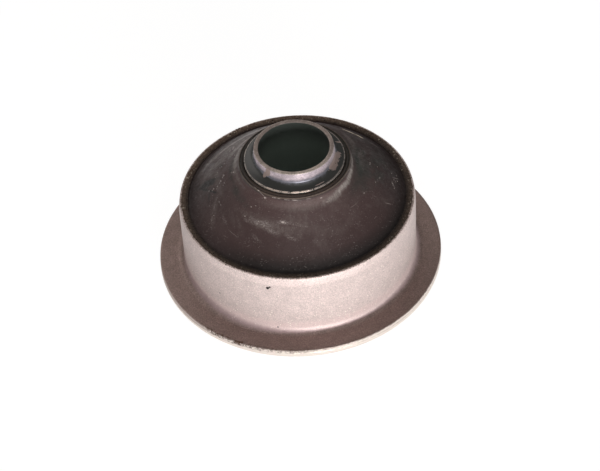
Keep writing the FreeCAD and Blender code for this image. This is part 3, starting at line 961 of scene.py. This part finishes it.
sleevePeeled = [
    stroke((8.26, 28.1, 329), (8.26, 28.1, 355), 0.62, 1, 0.06, 0.3),
    stroke((8.7, 27.7, 352), (8.9, 27.6, 357.5), 0.66, 1, 0.06, 0.55, True),
    stroke((8.6, 27.74, 342), (8.7, 27.7, 346), 0.66, 1, 0.06, 0.55, True),
    stroke((8.6, 27.74, 329), (8.8, 27.66, 336), 0.74, 1, 0.06, 0.55, True),
    stroke((9.3, 27.45, 22), (10, 27.2, 20), 0.2, 1, 0.1, 0.35, True),
    stroke((8.02, 29.9, 229), (8.16, 28.7, 227), 0.62, 1, 0.06, 0.25),
    stroke((8.16, 28.8, 224), (8.3, 27.85, 222.5), 0.42, 1, 0.06, 0.25),
    stroke((9.62, 27.34, 294), (9.58, 27.35, 305), 0.12, 1, 0.2, 0.3, True),
]


def makeSleeveFinish():
    look, size = sleeveLook, SimpleNamespace(**sleeveSizes)
    finish, shader, at, side = newFinish("sleeveFinish", sleeveSides)
    vector, radius, height = at.vector, at.radius, at.height
    grain = useGroup(grainGroup, vector, 4200, 700)
    turned = streaks(at, 1.2, 9)
    onFace = remap(height, size.length - 0.14, size.length - 0.08)
    worn = side.front * remap(at.fineTear, -0.12, 0.1, 0.25, 0.8)
    brokenEdge = atLeast(band(radius, size.faceRadius - 0.16, size.faceRadius - 0.02, 0.04),
                         band(radius, 7.22, 7.36, 0.04) * 0.6)
    colour = layers(look.steel, (onFace, mixColour(worn, look.face, look.faceEdge)),
                    (brokenEdge * onFace * remap(at.fineTear, -0.02, 0.1), look.faceEdge))
    colour = shaded(colour, remap(turned, 0.3, 0.7, 0.88, 1.08),
                    remap(grain["Grain"], 0.36, 0.64, 0.76, 1.16),
                    remap(grain["Mottle"], 0.36, 0.64, 0.8, 1.14))
    # the film thickens from the foot of the nose down over the shoulder; where it is thin it shows blue-grey,
    # partly a painted reflection, and that band reaches further down on the left
    level = height + uneven(vector, 500, 3, 0.6, 0.3, 0.7, -0.16, 0.16) - side.thinFilm * 0.5
    thin, thick = remap(level, 28.9, 28, smooth=True), remap(level, 28, 27.55, smooth=True)
    peeled = marks(at, sleevePeeled)
    covered = 1 - peeled
    inTube = remap(radius, size.boreRadius + 0.06, size.boreRadius + 0.02)
    outside = 1 - inTube
    # a worn bare line along the shoulder's edge, partly a painted highlight, brightest at the front
    edgeWearAndHighlight = (band(radius, 9.92, 10.2, 0.05) * band(height, 26.86, 27.6, 0.05)
                * uneven(vector, 1900, 4, 0.75, 0.38, 0.52) * mixValue(side.wornEdge, 0.3, 1))
    film = thick * covered * outside * (1 - edgeWearAndHighlight)
    colour = layers(colour, (thin * covered * outside * 0.85, look.blue), (film, look.film),
                    (peeled * outside, look.bare), (edgeWearAndHighlight, look.wear), (inTube, look.bore))
    # painted light and shade in the bore: darker near its top and lighter deeper down, evening out the shade
    # inside it
    colour = shaded(colour, mixValue(inTube, 1, remap(height, 29.9, 23, 0.5, 2.2, smooth=True)))
    bareRough = remap(grain["Grain"], 0.3, 0.7, 0.36, 0.5) + atLeast(peeled, onFace) * 0.14
    rough = mixValue(inTube, mixValue(film, bareRough, 0.2), 0.75)
    normal = bump(film + grain["Grain"] * 0.3, 0.04, 0.6, bump(turned, 0.03, 0.3))
    setShader(shader, colour, rough, normal, remap(atLeast(film, inTube), 0, 1, 0.88, 0))
    return finish


def sleeveSection():
    size = SimpleNamespace(**sleeveSizes)
    bore, top, shoulderHeight = size.boreRadius, size.length, size.length - size.noseHeight
    shoulderEdge, noseFoot = shoulderHeight - size.shoulderDrop, (size.noseRadius, shoulderHeight)
    hollow = bowPoints((size.radius, shoulderEdge), noseFoot, size.shoulderHollow, -1, 10)
    corners = [(bore, 0.0, size.boreChamfer), (size.radius, 0.0, size.footChamfer),
               (size.radius, shoulderEdge, 0.06), (*hollow[3], 0)]
    section = thickened(roundedSection(corners)[:-1], 3.0)
    section = [point for point in section if point[1] <= shoulderEdge + 0.05] + hollow[1:]
    tip = [noseFoot, (size.faceRadius, top), (bore, top), (bore, 0.0)]
    section += linePoints(tip[0], tip[1], 8)[1:-1]
    section += roundCorner(*tip[:3], size.noseBreak) + roundCorner(*tip[1:], size.boreChamfer)
    return section + linePoints((bore, top - 0.3), (bore, 0.3), 12)


sleeve = turnSection("sleeveTube", sleeveSection(), {
    "Steps": sleeveSizes["steps"], "Finish": makeSleeveFinish()})
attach(sleeve, "root")
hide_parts("inner_sleeve")
print("sleeve made:", len(sleeve.data.polygons), "faces")


# loose bits of torn rubber along the rim

def buildBits(geometry, count, ringRadius, ringHeight, radialSpread, heightSpread, smallest, largest, seed,
              finish):
    tree = count.socket.id_data

    def chance(low, high, extra):
        inputs = {2: low, 3: high, "Seed": seed + float(extra)}
        return wired("FunctionNodeRandomValue", inputs, data_type="FLOAT")[1]

    line = wired("GeometryNodeMeshLine", {"Count": count})[0]
    turn = chance(0.0, math.tau, 1)
    across = calc("MULTIPLY_ADD", chance(-1.0, 1.0, 2), radialSpread, ringRadius)
    up = calc("MULTIPLY_ADD", chance(-1.0, 1.0, 3), heightSpread, ringHeight)
    place = combine(across * calc("COSINE", turn), across * calc("SINE", turn), up)
    points = wired("GeometryNodeSetPosition", {"Geometry": line, "Position": place})[0]
    width = calc("MULTIPLY_ADD", chance(0.0, 1.0, 4) ** 2.5, largest - smallest, smallest)
    scale = combine(width * chance(0.6, 1.8, 5), width * chance(0.5, 1.2, 6), width * chance(0.4, 1.0, 7))
    tilt = combine(*(chance(0.0, math.tau, extra) for extra in (8, 9, 10)))
    ball = addNode(tree, "GeometryNodeMeshIcoSphere", {"Radius": 1.0, "Subdivisions": 2})[0]
    lumps = remap(noise(position(tree), 1.6, 2.0, 0.6), 0.3, 0.7, 0.45, 1.3)
    crumb = wired("GeometryNodeSetPosition", {"Geometry": ball, "Position": scaled(position(tree), lumps)})[0]
    spread = wired("GeometryNodeInstanceOnPoints", {"Points": points, "Instance": crumb, "Rotation": tilt,
                                                    "Scale": scale})[0]
    return finished(spread, finish)


bitsTree = newGroup("tornBits", {
    "Geometry": "NodeSocketGeometry", "Count": 400, "Ring Radius": 0.0235, "Ring Height": 0.0168,
    "Radial Spread": 0.0004, "Height Spread": 0.0002, "Smallest": 0.00005, "Largest": 0.0002, "Seed": 3,
    "Finish": "NodeSocketMaterial"}, ["Geometry"], buildBits, "GeometryNodeTree", "NodeSocketGeometry")
rimBits = {"Count": 520, "Ring Radius": 23.4 * mm, "Ring Height": 16.85 * mm, "Radial Spread": 0.22 * mm,
           "Height Spread": 0.14 * mm, "Smallest": 0.04 * mm, "Largest": 0.2 * mm, "Seed": 7,
           "Finish": rubberFinish}
bits = addTree(newPiece("rimCrumbs"), bitsTree, rimBits)
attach(bits, "root")
print("rim crumbs made:", len(bits.data.polygons), "faces")


# floor, light and camera

stageLook = {
    "floorSize": 4.0,
    "paper": 0.75,              # how pale the floor is to scattered light
    "whiteShare": 0.9,          # how much of it is plain white to the camera and to mirrors
    "shadowShare": 0.22,        # how much of the lit paper, and so of the shadow, is seen over that
    "skyHorizon": (0.16, 0.16, 0.16, 1.0),
    "skyWindow": (1.3, 1.24, 1.2, 1.0),
    "skyTop": (0.28, 0.27, 0.26, 1.0),
    "windowAngle": 125.0,
    "windowHeight": (0.3, 0.75),
    "lampAim": (0, 0, 0.01),    # metres, as are the lamps' own places
    "frontWatts": 4.45,
    "topWatts": 0.8,
}


def makeFloor():
    half = stageLook["floorSize"] / 2
    floor = newPiece("floor", [(-half, -half, 0), (half, -half, 0), (half, half, 0), (-half, half, 0)],
                     faces=[(0, 1, 2, 3)])
    finish = bpy.data.materials.new("paleFloor")
    finish.use_nodes = True
    tree = finish.node_tree
    tree.nodes.clear()
    rays = addNode(tree, "ShaderNodeLightPath")
    seen = atLeast(*(rays["Is " + kind + " Ray"] for kind in ("Camera", "Glossy", "Transmission")))
    shade = mixValue(seen, stageLook["paper"], stageLook["shadowShare"])
    paper = wired("ShaderNodeBsdfDiffuse", {"Color": grey(shade)})[0]
    plainWhite = {"Color": (1, 1, 1, 1), "Strength": seen * stageLook["whiteShare"]}
    white = wired("ShaderNodeEmission", plainWhite)[0]
    wired("ShaderNodeOutputMaterial", {"Surface": wired("ShaderNodeAddShader", {0: paper, 1: white})[0]})
    floor.data.materials.append(finish)


def makeSky():
    world = bpy.data.worlds.new("studioSky")
    world.use_nodes = True
    tree = world.node_tree
    tree.nodes.clear()
    way = wired("ShaderNodeSeparateXYZ", {0: addNode(tree, "ShaderNodeTexCoord")["Generated"]})
    turn = math.radians(stageLook["windowAngle"])
    facing = way[0] * math.cos(turn) + way[1] * math.sin(turn)
    across = facing / calc("SQRT", 1.001 - way[2] ** 2.0)
    window = remap(across, 0.68, 0.94, smooth=True) * band(way[2], *stageLook["windowHeight"], 0.12)
    plain = mixColour(remap(way[2], 0.05, 0.6, smooth=True), stageLook["skyHorizon"], stageLook["skyTop"])
    colour = mixColour(window, plain, stageLook["skyWindow"])
    sky = wired("ShaderNodeBackground", {"Color": colour, "Strength": 1.0})[0]
    wired("ShaderNodeOutputWorld", {"Surface": sky})
    bpy.context.scene.world = world


def addSoftLamp(name, place, width, height, watts, colour=(1, 1, 1)):
    lamp = bpy.data.lights.new(name, "AREA")
    lamp.shape = "RECTANGLE"
    lamp.size, lamp.size_y, lamp.energy, lamp.color = width, height, watts, colour
    holder = addObject(name, lamp)
    holder.location = place
    holder.rotation_euler = (Vector(stageLook["lampAim"]) - Vector(place)).to_track_quat("-Z", "Y").to_euler()


cameraView = {
    "distance": 438.75,       # millimetres from the aim to the lens
    "elevation": 45.347,
    "roll": 3.7834,
    "slide": (0.08295, 2.10098),
    "aimHeight": 1.8,
    "lens": 126.5016,
}


def makeCamera():
    rise, lean = math.radians(cameraView["elevation"]), math.radians(cameraView["roll"])
    right = Vector((1, 0, 0))
    up = Vector((0, math.sin(rise), math.cos(rise)))
    back = Vector((0, -math.cos(rise), math.sin(rise)))
    place = back * cameraView["distance"] + right * cameraView["slide"][0] + up * cameraView["slide"][1]
    place = (place + Vector((0, 0, cameraView["aimHeight"]))) * mm
    leanRight = right * math.cos(lean) - up * math.sin(lean)
    leanUp = right * math.sin(lean) + up * math.cos(lean)
    camera = addObject("camera", bpy.data.cameras.new("camera"))
    optics = camera.data
    optics.lens, optics.sensor_width, optics.sensor_fit = cameraView["lens"], 36.0, "HORIZONTAL"
    optics.clip_start, optics.clip_end = 0.01, 20.0
    camera.matrix_world = Matrix.Translation(place) @ Matrix((leanRight, leanUp, back)).transposed().to_4x4()
    bpy.context.scene.camera = camera


makeFloor()
makeSky()
addSoftLamp("frontLamp", (0.15, -0.73, 0.075), 0.41, 0.14, stageLook["frontWatts"], (1.0, 0.985, 0.97))
addSoftLamp("topLamp", (0.1, -0.35, 0.8), 0.6, 0.5, stageLook["topWatts"])
makeCamera()
bpy.context.scene.view_settings.view_transform = "Standard"
print("stage made")
